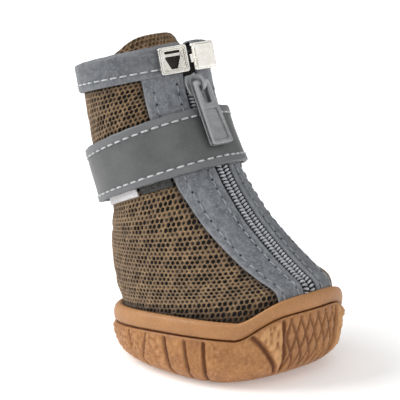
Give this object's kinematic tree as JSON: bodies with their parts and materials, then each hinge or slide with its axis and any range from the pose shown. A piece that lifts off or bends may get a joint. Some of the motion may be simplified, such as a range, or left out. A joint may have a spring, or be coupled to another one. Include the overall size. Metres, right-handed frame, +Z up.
{
  "type": "dog boot",
  "caption": "Soft dog boot with a rubber cup sole, mesh upper, front zip with a hinged pull, clasped collar band and reflective strap.",
  "frame": {"origin": "on the ground under the middle of the sole, on its flat tread", "axes": "+X to the toe, +Y to the boot's left, +Z up the shaft"},
  "size_m": [0.0971, 0.063, 0.099],
  "materials": {
    "gum_rubber": "satin moulded gum rubber",
    "foam": "cloth-faced foam",
    "air_mesh": "open knitted air mesh",
    "blue_webbing": "woven facing with a dull sheen",
    "zip_tape": "nylon coil on woven tape",
    "strap_webbing": "reflective webbing",
    "dark_loop": "hook-and-loop strip",
    "white_tape": "woven tape",
    "nickel": "polished nickel plate",
    "grey_paint": "satin grey paint over cast metal"
  },
  "bodies": {
    "boot": {"outsole": "gum_rubber", "insole": "foam", "upper": "air_mesh", "tongue": "air_mesh", "zip_band_right": "blue_webbing", "zip_band_left": "blue_webbing", "zip_chain": "zip_tape", "collar_band": "blue_webbing", "strap": "strap_webbing", "strap_base": "dark_loop", "label_tab": "white_tape", "clasp_eye": "nickel", "clasp_hook": "nickel", "zip_slider": "grey_paint"},
    "pull": {"zip_pull": "grey_paint"}
  },
  "joints": [
    {"name": "pull_hinge", "type": "hinge", "parent": "boot", "child": "pull", "pos_m": [-0.01209, 0, 0.08615], "axis": [0, -1, 0], "range_deg": [0, 120]}
  ]
}
